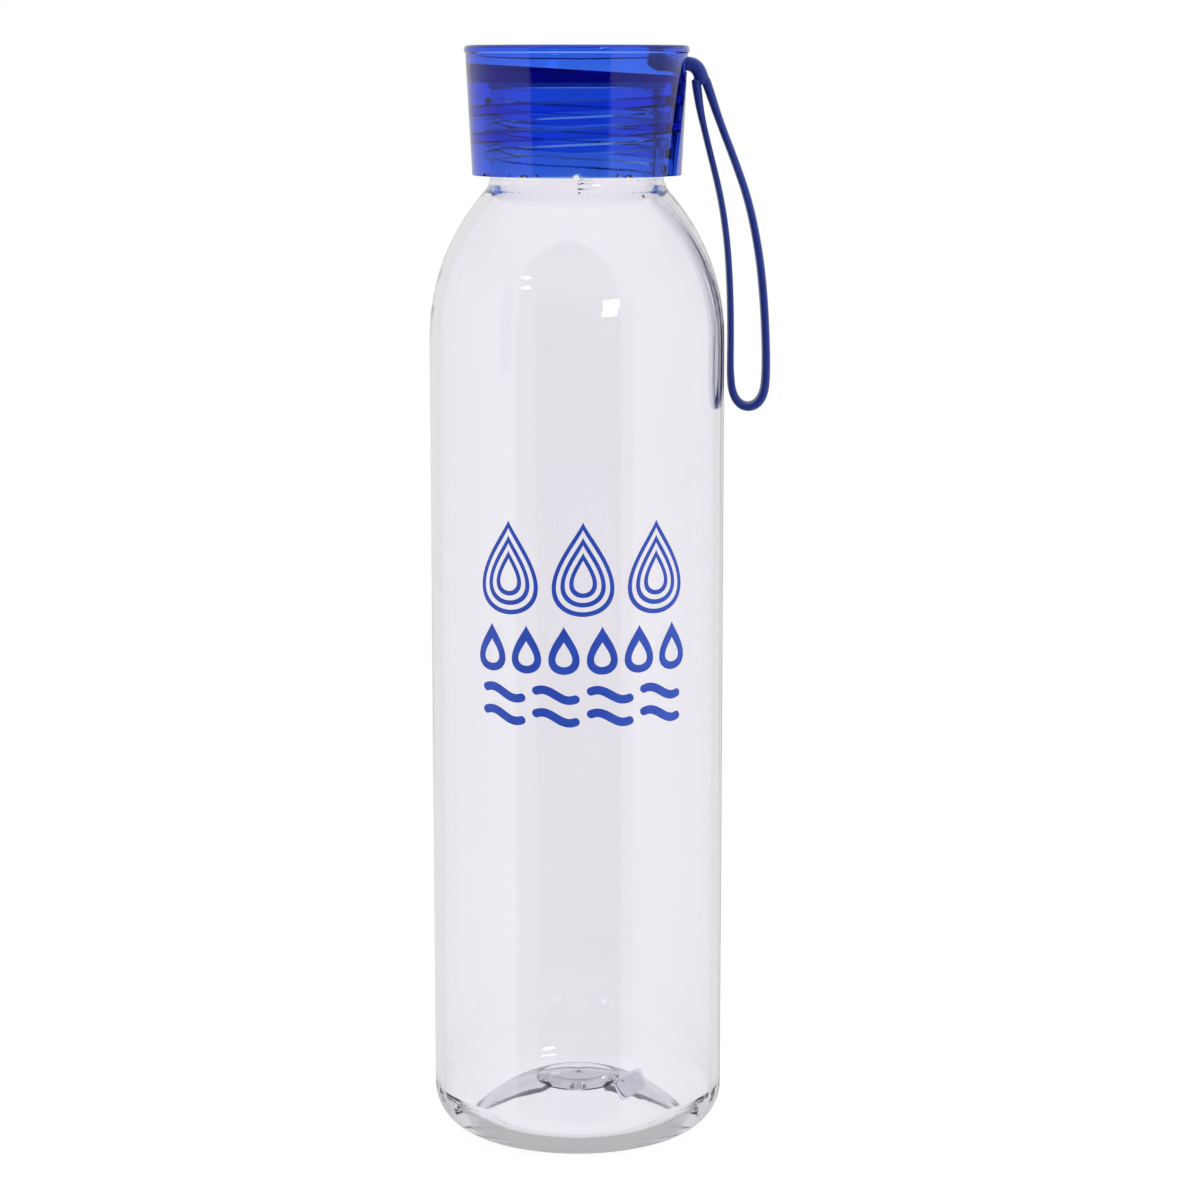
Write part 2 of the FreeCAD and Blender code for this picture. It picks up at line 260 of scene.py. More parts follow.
class Shade(Graph):
    """A material with one Principled shader."""

    def __init__(self, name: str) -> None:
        """Make the material, its shader and its output.

        Args:
            name: Name of the material.
        """
        self.material = bpy.data.materials.new(name)
        self.material.use_nodes = True
        super().__init__(self.material.node_tree)
        self.shader = self.tree.nodes["Principled BSDF"]
        self.output = self.tree.nodes["Material Output"]

    def bump(self, height: Value, strength: float, distance: float) -> bpy.types.NodeSocket:
        """Tilt the normal by a height field.

        Args:
            height: The height field.
            strength: Share of the tilt that is used.
            distance: Height in metres that 1 stands for.

        Returns:
            The tilted normal.
        """
        made = self.node(
            "ShaderNodeBump", {}, {"Strength": strength, "Distance": distance, "Height": height}
        )
        return made.outputs["Normal"]

    def set(self, **sockets: Any) -> None:
        """Set or link sockets of the Principled shader; underscores stand for spaces."""
        for key, given in sockets.items():
            self.put(self.shader.inputs[key.replace("_", " ")], given)

    def absorb(self, colour: Colour, density: float) -> None:
        """Let the inside of the piece absorb light, more along a longer way."""
        volume = self.node("ShaderNodeVolumeAbsorption", {}, {"Color": colour, "Density": density})
        self.tree.links.new(volume.outputs["Volume"], self.output.inputs["Volume"])


# ---------------------------------------------------------------- finishes


@dataclass(frozen=True)
class ClearPlastic:
    """Blown clear copolyester: slightly lilac, glossy, with the faint long waves of a stretched wall."""

    name: str = Slot.CLEAR.value
    tint: Colour = (0.966, 0.952, 0.985, 1.0)
    haze: Colour = (0.950, 0.936, 0.971, 1.0)
    ior: float = 1.54
    depth: Colour = (0.55, 0.52, 0.70, 1.0)
    density: float = 4.0
    draw_line: float = 65.4 * MM
    draw_line_half: float = 0.16 * MM
    draw_line_edge: float = 0.14 * MM

    def make(self) -> bpy.types.Material:
        """Make the material.

        Returns:
            The material.
        """
        graph = Shade(self.name)
        waves = graph.noise((60.0, 60.0, 9.0), detail=1.5)
        scuffs = graph.noise((900.0, 900.0, 160.0), detail=5.0, rough=0.7)
        specks = graph.noise((520.0, 520.0, 520.0), detail=1.0)
        cloud = graph.noise((35.0, 35.0, 20.0), detail=3.0)
        level = graph.parts(graph.place((1.0, 1.0, 1.0)))[2]
        off_line = (level - self.draw_line).size()
        ring = 1 - off_line.above(self.draw_line_half, self.draw_line_edge)
        graph.set(
            Base_Color=graph.mix(cloud.above(0.5, 0.3), self.tint, self.haze),
            Roughness=0.010 + 0.05 * scuffs.above(0.68, 0.06) + 0.25 * specks.above(0.80, 0.02),
            Normal=graph.bump(waves + 0.02 * scuffs + 0.05 * ring, strength=0.16, distance=0.4 * MM),
            IOR=self.ior,
            Transmission_Weight=1.0,
        )
        graph.absorb(self.depth, self.density)
        return graph.material


@dataclass(frozen=True)
class BluePlastic:
    """Translucent royal-blue moulded plastic that turns navy where light has a long way through it."""

    tint: Colour = (0.93, 0.95, 1.0, 1.0)
    streak: Colour = (0.84, 0.89, 0.985, 1.0)
    depth: Colour = (0.06, 0.455, 0.950, 1.0)
    density: float = 760.0
    ior: float = 1.50

    def make(self) -> bpy.types.Material:
        """Make the material.

        Returns:
            The material.
        """
        graph = Shade(Slot.BLUE.value)
        flow = graph.noise((90.0, 90.0, 40.0), detail=3.0)
        scuffs = graph.noise((1100.0, 1100.0, 420.0), detail=5.0, rough=0.7)
        graph.set(
            Base_Color=graph.mix(flow.above(0.5, 0.25), self.tint, self.streak),
            Roughness=0.016 + 0.08 * scuffs.above(0.66, 0.06),
            Normal=graph.bump(flow + 0.03 * scuffs, strength=0.16, distance=0.3 * MM),
            IOR=self.ior,
            Transmission_Weight=1.0,
        )
        graph.absorb(self.depth, self.density)
        return graph.material


@dataclass(frozen=True)
class Silicone:
    """Soft moulded silicone with a fine matt grain and slightly paler rubbed spots."""

    name: str
    deep: Colour
    rubbed: Colour
    roughness: float
    grain: float
    inner_light: float

    def make(self) -> bpy.types.Material:
        """Make the material.

        Returns:
            The material.
        """
        graph = Shade(self.name)
        fine = graph.noise((self.grain,) * 3, detail=4.0, rough=0.6)
        patches = graph.noise((170.0, 170.0, 90.0), detail=3.0)
        graph.set(
            Base_Color=graph.mix(patches.above(0.56, 0.2) * 0.6, self.deep, self.rubbed),
            Roughness=self.roughness + 0.16 * (fine - 0.5),
            Normal=graph.bump(fine + 0.4 * patches, strength=0.22, distance=0.06 * MM),
            Subsurface_Weight=self.inner_light,
            Subsurface_Scale=1.2 * MM,
            Sheen_Weight=0.12,
            Sheen_Roughness=0.4,
            IOR=1.42,
        )
        return graph.material


@dataclass(frozen=True)
class Ink:
    """Screen-printed blue ink: even, slightly uneven in gloss, with the faint mesh of the screen."""

    deep: Colour = (0.021, 0.078, 0.560, 1.0)
    thin: Colour = (0.030, 0.100, 0.640, 1.0)

    def make(self) -> bpy.types.Material:
        """Make the material.

        Returns:
            The material.
        """
        graph = Shade("print_ink")
        blotches = graph.noise((260.0, 260.0, 260.0), detail=4.0)
        screen = graph.noise((5200.0, 5200.0, 5200.0), detail=2.0)
        graph.set(
            Base_Color=graph.mix(blotches.above(0.5, 0.22), self.deep, self.thin),
            Roughness=0.38 + 0.14 * (screen - 0.5),
            Normal=graph.bump(screen + 0.5 * blotches, strength=0.15, distance=0.03 * MM),
            IOR=1.48,
        )
        return graph.material


# ---------------------------------------------------------------- surfaces


def grid_mesh(name: str, rings: Array, poles: tuple[Array, Array] | None) -> bpy.types.Object:
    """Make a mesh from closed rings of points, one after another.

    Args:
        name: Name of the piece.
        rings: Points of shape (ring, point in ring, 3), running anticlockwise seen from the way they go.
        poles: First and last point that close the ends, or None where the rings themselves close up.

    Returns:
        The object, linked to the scene.
    """
    count, around, _ = rings.shape
    points = rings.reshape(-1, 3)
    index = np.arange(count * around).reshape(count, around)
    beside = np.roll(index, -1, axis=1)
    if poles is None:
        index_next, beside_next = np.roll(index, -1, axis=0), np.roll(beside, -1, axis=0)
        quads = np.stack([index, beside, beside_next, index_next], axis=-1).reshape(-1, 4)
        faces = quads.tolist()
    else:
        quads = np.stack([index[:-1], beside[:-1], beside[1:], index[1:]], axis=-1).reshape(-1, 4)
        points = np.vstack([points, poles[0], poles[1]])
        first = np.full(around, count * around)
        start = np.stack([first, beside[0], index[0]], axis=-1)
        end = np.stack([first + 1, index[-1], beside[-1]], axis=-1)
        faces = quads.tolist() + start.tolist() + end.tolist()
    mesh = bpy.data.meshes.new(name)
    mesh.from_pydata(points.tolist(), [], faces)
    mesh.shade_smooth()
    mesh.validate()
    made = bpy.data.objects.new(name, mesh)
    bpy.context.scene.collection.objects.link(made)
    return made


def superellipse(count: int, power: float) -> tuple[Array, Array]:
    """Return points round a rounded box of half-size 1: signed powers of the angle's cosine and sine.

    Args:
        count: Points round the box.
        power: How square it is: 2 is a circle.

    Returns:
        The two coordinates of the points.
    """
    angle = np.linspace(0.0, 2 * np.pi, count, endpoint=False)
    cosine, sine = np.cos(angle), np.sin(angle)
    return (
        np.sign(cosine) * np.abs(cosine) ** (2 / power),
        np.sign(sine) * np.abs(sine) ** (2 / power),
    )


def spline_points(route: Array, resolution: int) -> Array:
    """Return points along the quadratic NURBS spline that has the route as its control points.

    Args:
        route: Control points, of shape (n, 3).
        resolution: Points for each control point.

    Returns:
        Points along the spline, of shape (m, 3).
    """
    curve = bpy.data.curves.new("route", "CURVE")
    curve.dimensions = "3D"
    curve.resolution_u = resolution
    spline = curve.splines.new("NURBS")
    spline.points.add(len(route) - 1)
    spline.points.foreach_set("co", np.hstack([route, np.ones((len(route), 1))]).ravel())
    spline.order_u = 3
    spline.use_endpoint_u = True
    carrier = bpy.data.objects.new("route", curve)
    line = bpy.data.meshes.new_from_object(carrier)
    points = np.empty(len(line.vertices) * 3)
    line.vertices.foreach_get("co", points)
    bpy.data.objects.remove(carrier)
    bpy.data.curves.remove(curve)
    bpy.data.meshes.remove(line)
    return points.reshape(-1, 3)


def travelled(points: Array) -> Array:
    """Return how far along the line each point lies, from 0 to 1."""
    steps = np.linalg.norm(np.diff(points, axis=0), axis=1)
    along = np.concatenate([[0.0], np.cumsum(steps)])
    return along / along[-1]


def band_in_plane(
    name: str, centre: Array, thick: Array, wide: Array, around: int, power: float
) -> bpy.types.Object:
    """Carry a rounded-box section along a line in the plane y = 0.

    A point of the surface is the line's point, plus the section's first coordinate times half the thickness
    along the line's normal in the plane, plus its second coordinate times half the width along Y. Both ends
    close in a pole.

    Args:
        name: Name of the piece.
        centre: Points of the line, of shape (n, 3).
        thick: Half thickness at each point.
        wide: Half width at each point.
        around: Points in a section.
        power: How square the section is: 2 is an ellipse.

    Returns:
        The piece.
    """
    along = np.gradient(centre, axis=0)
    along /= np.linalg.norm(along, axis=1, keepdims=True)
    across = np.array([0.0, 1.0, 0.0])
    normal = np.cross(across, along)
    first, second = superellipse(around, power)
    rings = (
        centre[:, None, :]
        + normal[:, None, :] * (thick[:, None] * first)[..., None]
        + across * (wide[:, None] * second)[..., None]
    )
    return grid_mesh(name, rings, (centre[0], centre[-1]))


def rounded_ends(along: Array, share: float) -> Array:
    """Return 1 along the middle, and a quarter ellipse down to 0 at each end.

    Args:
        along: Places along the line, from 0 to 1.
        share: Share of the length that each quarter ellipse takes.

    Returns:
        A factor for each place.
    """
    start = np.clip(along / share, 0.0, 1.0)
    end = np.clip((1 - along) / share, 0.0, 1.0)
    return np.sqrt(1 - (1 - start) ** 2) * np.sqrt(1 - (1 - end) ** 2)


def smooth_table(along: Array, stations: list[float], values: list[float]) -> Array:
    """Read a table at places between its stations, with a smooth step from each station to the next.

    Args:
        along: Places along the line, from 0 to 1.
        stations: Places that the table has values for.
        values: The table's values.

    Returns:
        A value for each place.
    """
    place = np.interp(along, stations, np.arange(len(stations)))
    before = np.minimum(place.astype(int), len(stations) - 2)
    share = place - before
    share = share * share * (3 - 2 * share)
    table = np.array(values)
    return table[before] * (1 - share) + table[before + 1] * share


@dataclass
class Ring:
    """A cylinder's wall that flat artwork is wrapped round, its middle facing -Y."""

    radius: float

    def wrap(self, flat: Array, height: Array) -> Array:
        """Wrap artwork round the wall.

        A point at arc a, level z and height h over the wall goes to the angle a over the radius, at the
        radius plus h.

        Args:
            flat: Arc and level of each point, of shape (..., 2).
            height: Height over the wall, of shape (...).

        Returns:
            Points, of shape (..., 3).
        """
        angle = flat[..., 0] / self.radius
        out = self.radius + height
        return np.stack([out * np.sin(angle), -out * np.cos(angle), flat[..., 1]], axis=-1)


# ---------------------------------------------------------------- sub-assemblies


def dress(node: bpy.types.Object, material: bpy.types.Material) -> None:
    """Give a node or piece one material."""
    node.data.materials.clear()
    node.data.materials.append(material)


@dataclass(frozen=True)
class DropRow:
    """A row of printed drops: its level, a drop's half width and half height, and the line's width."""

    level: float
    half: float
    tall: float
    line: float


@dataclass
class Bottle:
    """The blown bottle, the print on its wall and the moulded mark on its heel."""

    node: bpy.types.Object
    ink_height: float = 0.05 * MM
    ink_lift: float = 0.03 * MM
    ink_points: int = 10
    ink_power: float = 2.6
    left: float = -23.0 * MM
    right: float = 26.0 * MM
    drop_belly: float = 1.3
    drop_point: float = 1.4
    drop_points: int = 84
    large: DropRow = DropRow(136.2 * MM, 7.5 * MM, 10.5 * MM, 1.05 * MM)
    large_pitch: float = 2.1 * MM
    small: DropRow = DropRow(118.1 * MM, 3.75 * MM, 5.4 * MM, 1.75 * MM)
    small_overhang: float = 0.6 * MM
    ripples_in_row: int = 4
    ripple_upper: float = 108.1 * MM
    ripple_lower: float = 103.0 * MM
    ripple_swing: float = 1.15 * MM
    ripple_stroke: float = 1.95 * MM
    mark_place: tuple[float, float] = (12.4 * MM, 18.3 * MM)
    mark_half_wide: float = 3.6 * MM
    mark_half_tall: float = 2.7 * MM
    mark_rise: float = 0.34 * MM
    mark_dish: float = 0.26 * MM
    mark_turn: float = math.radians(24)

    def build(self) -> list[bpy.types.Object]:
        """Dress the wall, print the three rows of artwork and raise the moulded mark.

        Returns:
            The printed pieces and the mark.
        """
        dress(self.node, ClearPlastic().make())
        low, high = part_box("bottle_body")
        wall = Ring((high[0] - low[0]) / 2)
        pieces = self.nested_drops(wall) + self.drops(wall) + self.ripples(wall)
        ink = Ink().make()
        for piece in pieces:
            dress(piece, ink)
        mark = self.mould_mark(wall)
        dress(mark, ClearPlastic("mould_mark_clear").make())
        pieces.append(mark)
        for piece in pieces:
            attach(piece, Body.BOTTLE.value)
        return pieces

    def mould_mark(self, wall: Ring) -> bpy.types.Object:
        """Raise a small turned square on the heel of the bottle.

        The square's edge is a rounded box. At a share s of the way out to it, the face stands as high as the
        root of one minus the tenth power of s times the rise, less the dish times one minus the square of s.
        The back is flat on the wall.

        Args:
            wall: Wall to raise it on.

        Returns:
            The piece.
        """
        place = np.array(self.mark_place)
        first, second = superellipse(64, 6.0)
        first, second = first * self.mark_half_wide, second * self.mark_half_tall
        cosine, sine = math.cos(self.mark_turn), math.sin(self.mark_turn)
        edge = np.stack([first * cosine - second * sine, first * sine + second * cosine], axis=-1)
        front, back = np.linspace(0.05, 1.0, 24), np.linspace(0.98, 0.05, 12)
        share = np.concatenate([front, back])
        face = np.sqrt(np.clip(1 - front**10, 0, 1)) * self.mark_rise - self.mark_dish * (1 - front**2)
        height = np.concatenate([np.maximum(face, 0), np.zeros(len(back))]) + self.ink_lift
        flat = place + share[:, None, None] * edge
        rings = wall.wrap(flat, np.broadcast_to(height[:, None], flat.shape[:2]))
        sunk = self.mark_rise - self.mark_dish
        middle = wall.wrap(np.stack([place, place]), np.array([sunk, 0.0]) + self.ink_lift)
        return grid_mesh("mould_mark", rings, (middle[0], middle[1]))

    def stroke(self, wall: Ring, name: str, line: Array, width: float) -> bpy.types.Object:
        """Print one stroke of even width with round ends.

        The section is a flat ellipse: half the stroke's width along the wall across the line, and half the
        ink's height out from it.

        Args:
            wall: Wall to print on.
            name: Name of the piece.
            line: Arc and level of the stroke's middle, of shape (n, 2).
            width: Width of the stroke.

        Returns:
            The piece.
        """
        length = np.linalg.norm(np.diff(line, axis=0), axis=1).sum()
        taper = rounded_ends(travelled(line), width / 2 / length)
        along = np.gradient(line, axis=0)
        along /= np.linalg.norm(along, axis=1, keepdims=True)
        across = np.stack([along[:, 1], -along[:, 0]], axis=-1)
        first, second = superellipse(self.ink_points, self.ink_power)
        flat = line[:, None, :] + across[:, None, :] * (taper[:, None] * first * width / 2)[..., None]
        height = self.ink_lift + self.ink_height / 2 * (1 + second) * np.minimum(1, taper + 0.02)[:, None]
        ends = wall.wrap(line[[0, -1]], np.full(2, self.ink_lift))
        return grid_mesh(name, wall.wrap(flat, height), (ends[0], ends[1]))

    def drop_ring(
        self,
        wall: Ring,
        name: str,
        outer: tuple[Array, float, float],
        inner: tuple[Array, float, float],
    ) -> bpy.types.Object:
        """Print the band between two drop outlines.

        A drop's half width is the sine of the turn times the half-turn's sine to a power, which is pointed at
        the top and round below; its level is the cosine of the turn.

        Args:
            wall: Wall to print on.
            name: Name of the piece.
            outer: Middle, half width and half height of the outer outline.
            inner: The same of the inner outline.

        Returns:
            The piece.
        """
        turn = np.linspace(0, 2 * np.pi, self.drop_points, endpoint=False)
        belly = self.drop_belly * np.sin(turn) * np.sin(turn / 2) ** self.drop_point
        outlines = [middle + np.stack([half * belly, tall * np.cos(turn)], axis=-1)
                    for middle, half, tall in (outer, inner)]
        first, second = superellipse(self.ink_points, self.ink_power)
        share = ((1 - first) / 2)[None, :, None]
        flat = outlines[0][:, None, :] * (1 - share) + outlines[1][:, None, :] * share
        height = np.broadcast_to(self.ink_lift + self.ink_height / 2 * (1 + second), flat.shape[:2])
        return grid_mesh(name, wall.wrap(flat, height), None)

    def nested_drops(self, wall: Ring) -> list[bpy.types.Object]:
        """Print three large drops, each of three thin lines one inside the other.

        An outline that is inset by i is i narrower and 1.3 i shorter at each end, and its middle is 0.3 i
        lower.

        Args:
            wall: Wall to print on.

        Returns:
            The pieces.
        """
        pieces = []
        row = self.large
        across = np.linspace(self.left + row.half, self.right - row.half, 3)
        for figure, place in enumerate(across, start=1):
            for ring in range(3):
                sizes = []
                for inset in (ring * self.large_pitch, ring * self.large_pitch + row.line):
                    shorter = 1.3 * inset
                    middle = np.array([place, row.level + inset - shorter])
                    sizes.append((middle, row.half - inset, row.tall - shorter))
                pieces.append(self.drop_ring(wall, f"print_large_drop_{figure}_{ring + 1}", *sizes))
        return pieces

    def drops(self, wall: Ring) -> list[bpy.types.Object]:
        """Print a row of six small bold drops.

        Args:
            wall: Wall to print on.

        Returns:
            The pieces.
        """
        pieces = []
        row = self.small
        in_from_end = row.half - self.small_overhang
        across = np.linspace(self.left + in_from_end, self.right - in_from_end, 6)
        for number, place in enumerate(across, start=1):
            outer = (np.array([place, row.level]), row.half, row.tall)
            lower = np.array([place, row.level - 0.5 * row.line])
            inner = (lower, row.half - row.line, row.tall - 1.5 * row.line)
            pieces.append(self.drop_ring(wall, f"print_drop_{number}", outer, inner))
        return pieces

    def ripples(self, wall: Ring) -> list[bpy.types.Object]:
        """Print two rows of short ripples: each is one turn of a sine, without its two tips.

        Args:
            wall: Wall to print on.

        Returns:
            The pieces.
        """
        pieces = []
        pitch = (self.right - self.left) / self.ripples_in_row
        share = np.linspace(0.07, 0.93, 72)
        wave = self.ripple_swing * np.sin(2 * np.pi * share)
        for row, level in (("upper", self.ripple_upper), ("lower", self.ripple_lower)):
            for number in range(self.ripples_in_row):
                line = np.stack([self.left + pitch * (number + share), level + wave], axis=-1)
                name = f"print_ripple_{row}_{number + 1}"
                pieces.append(self.stroke(wall, name, line, self.ripple_stroke))
        return pieces


@dataclass
class Lid:
    """The screw lid and the seal under its deck."""

    node: bpy.types.Object
    seal: bpy.types.Object

    def build(self) -> None:
        """Dress the lid and its seal."""
        dress(self.node, BluePlastic().make())
        milky = Silicone(
            Slot.SEAL.value,
            deep=(0.50, 0.56, 0.68, 1.0),
            rubbed=(0.60, 0.66, 0.76, 1.0),
            roughness=0.5,
            grain=2600.0,
            inner_light=0.2,
        )
        dress(self.seal, milky.make())


@dataclass
class Strap:
    """The moulded silicone strap: a tab that holds in the lid, and the loop that hangs from it."""

    width: float = 6.4 * MM
    head_width: float = 9.2 * MM
    length: float = 0.150
    spline_steps: int = 14
    loop_points: int = 24
    loop_power: float = 3.4
    loop_end: float = 0.004
    closest: float = 0.05 * MM
    tab_points: int = 32
    tab_power: float = 2.9
    tab_end: float = 0.008

    def build(self) -> list[bpy.types.Object]:
        """Build and dress the tab and the loop.

        Returns:
            The tab and the loop.
        """
        blue = Silicone(
            Slot.STRAP.value,
            deep=(0.014, 0.039, 0.310, 1.0),
            rubbed=(0.026, 0.065, 0.385, 1.0),
            roughness=0.40,
            grain=3200.0,
            inner_light=0.05,
        ).make()
        tab, loop = self.tab(), self.loop()
        for piece, node in ((tab, "strap_anchor"), (loop, "strap_loop")):
            dress(piece, blue)
            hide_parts(node)
        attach(loop, Body.STRAP.value)
        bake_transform(tab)
        return [tab, loop]

    def loop(self) -> bpy.types.Object:
        """Carry the band's section along the loop's own line.

        The line is the smooth spline that follows the loop's route, less its doubled points. The band is
        thinner where it leaves the tab and thicker round the bottom of the loop, and its ends are inside
        the tab.

        Returns:
            The loop.
        """
        route = MM * np.array([
            (26.7, 0, 242.6), (26.9, 0, 240.7), (27.8, 0, 234.7), (30.1, 0, 225.5), (32.5, 0, 216.0),
            (34.0, 0, 206.0), (34.7, 0, 195.2), (34.9, 0, 184.8), (34.8, 0, 176.6), (35.3, 0, 171.6),
            (37.4, 0, 168.8), (40.5, 0, 168.8), (42.6, 0, 171.6), (43.0, 0, 176.8), (42.8, 0, 185.4),
            (42.2, 0, 194.8), (41.1, 0, 204.2), (38.8, 0, 215.2), (35.4, 0, 224.7), (32.0, 0, 233.2),
            (29.5, 0, 240.6), (28.7, 0, 242.7),
        ])
        line = spline_points(route, self.spline_steps)
        apart = np.linalg.norm(np.diff(line, axis=0), axis=1) > self.closest
        line = line[np.concatenate([[True], apart])]
        along = travelled(line)
        even = rounded_ends(along, self.loop_end)
        stations = [0.0, 0.08, 0.40, 0.5, 0.6, 0.92, 1.0]
        thick = smooth_table(along, stations, [2.1, 1.45, 1.50, 2.0, 1.85, 1.75, 2.1]) * MM
        piece = band_in_plane("strap_loop_band", line, even * thick / 2, even * self.width / 2,
                              self.loop_points, self.loop_power)
        return piece

    def tab(self) -> bpy.types.Object:
        """Fill the strap's outline in its plane with a rounded section.

        The outline is an upper and a lower line, from the two-lobed head through the slot and down to the
        fork. The section at each place is centred between the two lines and as thick as they are apart; its
        half width goes from the head's to the band's.

        Returns:
            The tab.
        """
        upper = spline_points(MM * np.array([
            (15.7, 0, 247.6), (15.9, 0, 249.2), (17.6, 0, 249.9), (19.4, 0, 249.2), (20.6, 0, 247.9),
            (21.8, 0, 247.2), (23.2, 0, 247.3), (24.9, 0, 247.45), (26.8, 0, 247.1), (28.3, 0, 245.9),
            (29.2, 0, 244.1), (29.8, 0, 242.4), (30.2, 0, 241.0),
        ]), self.spline_steps)
        lower = spline_points(MM * np.array([
            (15.7, 0, 247.6), (15.6, 0, 246.2), (17.0, 0, 245.3), (18.6, 0, 244.6), (20.2, 0, 244.7),
            (21.4, 0, 244.4), (22.6, 0, 244.4), (24.1, 0, 244.35), (25.3, 0, 244.15), (26.0, 0, 243.5),
            (26.25, 0, 242.7), (26.2, 0, 242.0), (26.1, 0, 241.2),
        ]), self.spline_steps)
        centre = (upper + lower) / 2
        half = (upper - lower) / 2
        along = np.linspace(0.0, 1.0, len(centre))
        stations = [0.0, 0.06, 0.16, 0.34, 0.42, 0.50, 1.0]
        share = smooth_table(along, stations, [0.0, 0.75, 1.0, 0.96, 0.78, 0.70, 0.70])
        even = rounded_ends(along, self.tab_end)
        wide = share * self.head_width / 2 * even
        first, second = superellipse(self.tab_points, self.tab_power)
        close = np.minimum(1.0, even + 0.02)
        rings = (
            centre[:, None, :]
            + (close[:, None] * first)[..., None] * half[:, None, :]
            + (wide[:, None] * second)[..., None] * np.array([0.0, 1.0, 0.0])
        )
        return grid_mesh("strap_tab", rings[1:-1], (centre[0], centre[-1]))


# ---------------------------------------------------------------- studio


@dataclass(frozen=True)
class Lamp:
    """A rectangular lamp: where it hangs, its width and height, its watts and its roll in radians."""

    name: str
    place: tuple[float, float, float]
    size: tuple[float, float]
    power: float
    roll: float = 0.0


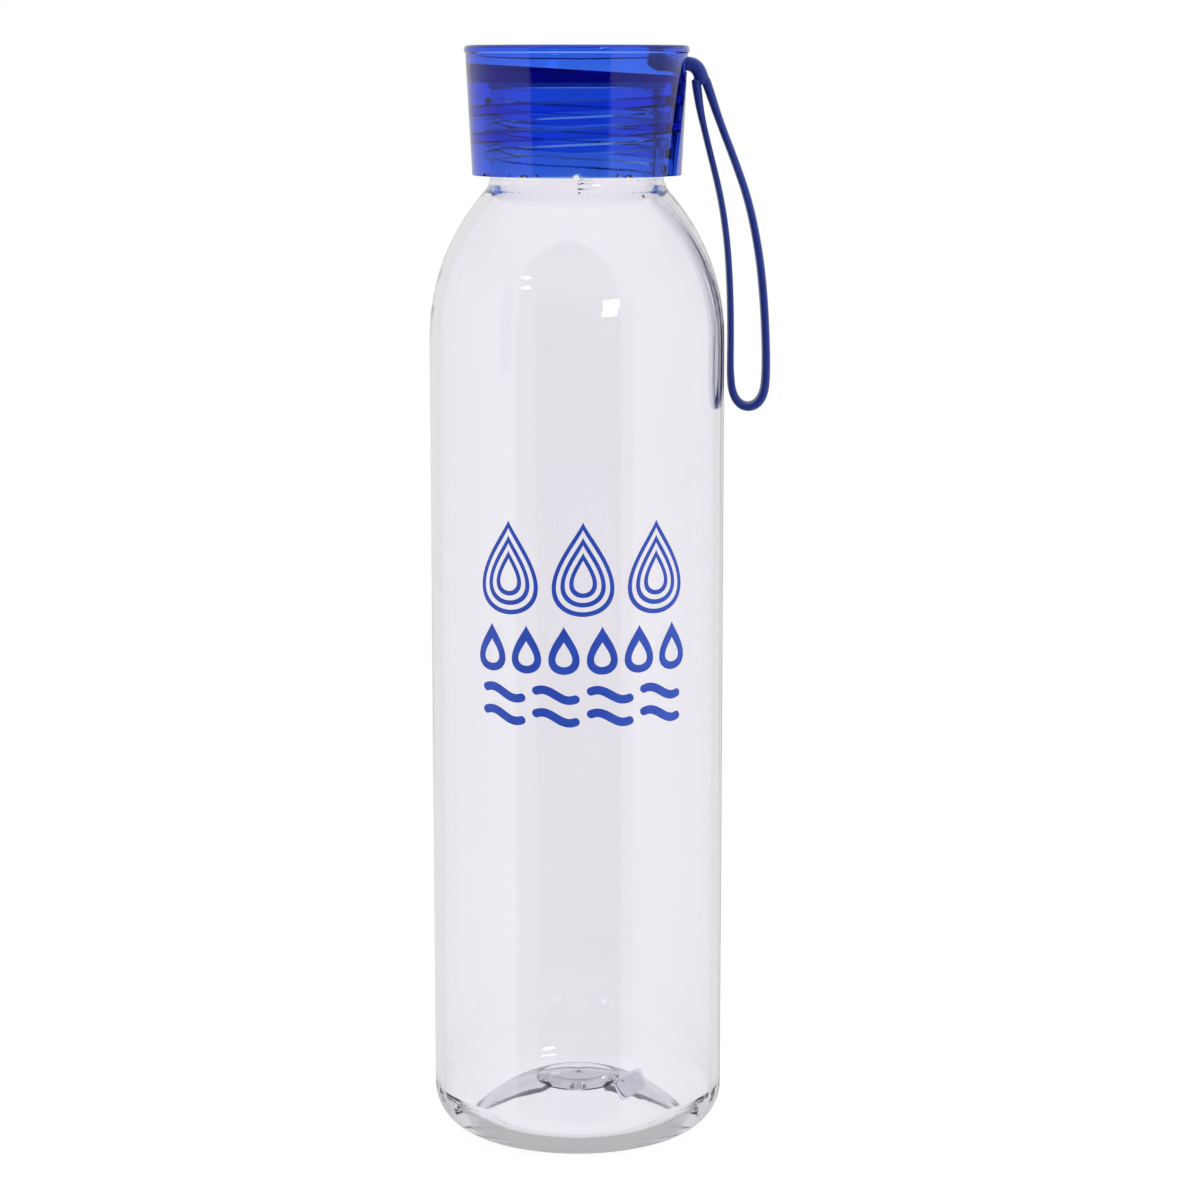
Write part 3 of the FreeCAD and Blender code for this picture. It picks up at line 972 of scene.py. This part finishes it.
@dataclass
class Studio:
    """White table and backdrop, large bright walls at both sides, a dim front and a few window lamps.

    Brightness is set for what is seen straight on (white) and for what is mirrored: the walls at both sides,
    the wall behind, the opening in front, the flag's share, and the room below. Diffuse surfaces get more
    light by the share fill.
    """

    distance: float = 0.740
    height: float = 0.245
    aside: float = 5.2 * MM
    aim: float = 0.124
    frame_width: float = 0.2726
    sensor: float = 36.0
    white: float = 1.0
    side: float = 0.64
    back: float = 0.79
    front: float = 0.04
    flag: float = 0.84
    below: float = 0.50
    fill: float = 0.75
    opening_left: float = -0.86
    opening_right: float = 0.62
    opening_edge: float = 0.035
    arch_top: float = 0.81
    arch_drop: float = 0.38
    arch_middle: float = -0.13
    table_radius: float = 0.16
    table_sides: int = 96
    lamp_target: tuple[float, float, float] = (0.0, 0.0, 0.195)
    lamps: tuple[Lamp, ...] = (
        Lamp("window_upper", (0.482, -0.872, 0.512), (0.20, 0.085), 0.50),
        Lamp("window_lower", (0.458, -0.885, 0.432), (0.19, 0.058), 0.34),
        Lamp("slit_upper", (-0.645, -0.619, 0.700), (0.115, 0.013), 0.06, 0.25),
        Lamp("slit_lower", (-0.649, -0.671, 0.625), (0.115, 0.013), 0.06, 0.25),
    )
    bounces: int = 24

    def build(self) -> None:
        """Make the surroundings, the floor, the lamps and the camera.

        The many bounces let light out of the lid, whose inner faces mirror it to and fro.
        """
        self.surroundings()
        self.floor()
        for lamp in self.lamps:
            self.hang(lamp)
        self.camera()
        cycles = bpy.context.scene.cycles
        cycles.max_bounces = self.bounces
        cycles.transmission_bounces = self.bounces
        cycles.glossy_bounces = self.bounces

    def surroundings(self) -> None:
        """Light the room: what is seen straight on or through the bottle is even white.

        What it mirrors is bright at both sides, dim in an arch-shaped opening in front and below, and darker
        in one flag at the right, over the bottle's shoulder. The heading is the angle from the front,
        positive to the right.
        """
        world = bpy.data.worlds.new("studio")
        world.use_nodes = True
        bpy.context.scene.world = world
        graph = Graph(world.node_tree)
        direction = graph.node("ShaderNodeTexCoord", {}, {}).outputs["Generated"]
        right, away, up = graph.parts(direction)
        heading = right.turn(0.0 - away)
        opening = heading.above(self.opening_left, self.opening_edge)
        opening = opening * (1 - heading.above(self.opening_right, self.opening_edge))
        off_middle = heading - self.arch_middle
        arch = up + self.arch_drop * off_middle * off_middle
        opening = opening * (1 - arch.above(self.arch_top, 0.03))
        flanks = (1 - heading.size().above(2.0, 0.3)) * (1 - up.above(0.62, 0.12))
        mirrored = self.back + (self.side - self.back) * flanks
        mirrored = mirrored * (1 - opening) + self.front * opening
        flag = heading.above(1.80, 0.12) * (1 - heading.above(2.75, 0.1))
        flag = flag * up.above(0.07, 0.05) * (1 - up.above(0.60, 0.06))
        mirrored = mirrored * (1 - (1 - self.flag) * flag)
        table = 1 - up.above(-0.35, 0.08)
        mirrored = mirrored * (1 - table) + self.below * table
        ray = graph.node("ShaderNodeLightPath", {}, {})
        bounced = Value(graph, ray.outputs["Glossy Depth"]).above(0.5, 0.1)
        soft = Value(graph, ray.outputs["Is Diffuse Ray"])
        indirect = (bounced + soft).above(0.5, 0.1)
        radiance = self.white * (1 - indirect) + mirrored * (1 + self.fill * soft) * indirect
        graph.put(graph.tree.nodes["Background"].inputs["Strength"], radiance)
        graph.put(graph.tree.nodes["Background"].inputs["Color"], (1.0, 1.0, 1.0, 1.0))
        bpy.context.scene.view_settings.view_transform = "Standard"

    def floor(self) -> None:
        """Lay a round white table, bright enough that glass on it throws hardly any shade."""
        angle = np.linspace(0, 2 * np.pi, self.table_sides, endpoint=False)
        rim = self.table_radius * np.stack([np.cos(angle), np.sin(angle), 0 * angle], axis=-1)
        mesh = bpy.data.meshes.new("floor")
        mesh.from_pydata(rim.tolist(), [], [list(range(self.table_sides))])
        floor = bpy.data.objects.new("floor", mesh)
        bpy.context.scene.collection.objects.link(floor)
        floor.visible_glossy = False
        floor.visible_transmission = False
        graph = Shade("floor_white")
        grain = graph.noise((400.0, 400.0, 400.0), detail=2.0)
        graph.set(
            Base_Color=graph.mix(grain, (0.09, 0.09, 0.09, 1.0), (0.11, 0.11, 0.11, 1.0)),
            Roughness=0.9,
            Specular_IOR_Level=0.0,
            Emission_Color=(1.0, 1.0, 1.0, 1.0),
            Emission_Strength=0.95,
        )
        dress(floor, graph.material)

    def hang(self, lamp: Lamp) -> None:
        """Hang a lamp that faces the bottle's shoulder.

        Args:
            lamp: The lamp.
        """
        data = bpy.data.lights.new(lamp.name, "AREA")
        data.shape = "RECTANGLE"
        data.size, data.size_y = lamp.size
        data.energy = lamp.power
        made = bpy.data.objects.new(lamp.name, data)
        made.location = lamp.place
        facing = (Vector(self.lamp_target) - made.location).to_track_quat("-Z", "Y")
        made.rotation_euler = (facing @ Quaternion((0.0, 0.0, 1.0), lamp.roll)).to_euler()
        made.visible_camera = False
        bpy.context.scene.collection.objects.link(made)

    def camera(self) -> None:
        """Set the camera level with the lid, looking down at the bottle's middle."""
        data = bpy.data.cameras.new("camera")
        data.sensor_width = self.sensor
        data.lens = self.sensor * self.distance / self.frame_width
        camera = bpy.data.objects.new("camera", data)
        camera.location = (self.aside, -self.distance, self.height)
        aim = Vector((self.aside, 0.0, self.aim))
        camera.rotation_euler = (aim - camera.location).to_track_quat("-Z", "Y").to_euler()
        bpy.context.scene.collection.objects.link(camera)
        bpy.context.scene.camera = camera


def main() -> None:
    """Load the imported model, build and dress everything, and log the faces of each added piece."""
    logging.basicConfig(level=logging.INFO, format="%(name)s: %(message)s")
    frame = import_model()
    nodes = frame["nodes"]
    Studio().build()
    pieces = Bottle(nodes["bottle_body"]).build()
    Lid(nodes["screw_lid"], nodes["seal_ring"]).build()
    pieces += Strap().build()
    for piece in pieces:
        LOG.info("%s: %d faces", piece.name, len(piece.data.polygons))
    bpy.context.view_layer.update()


if __name__ == "__main__":
    main()
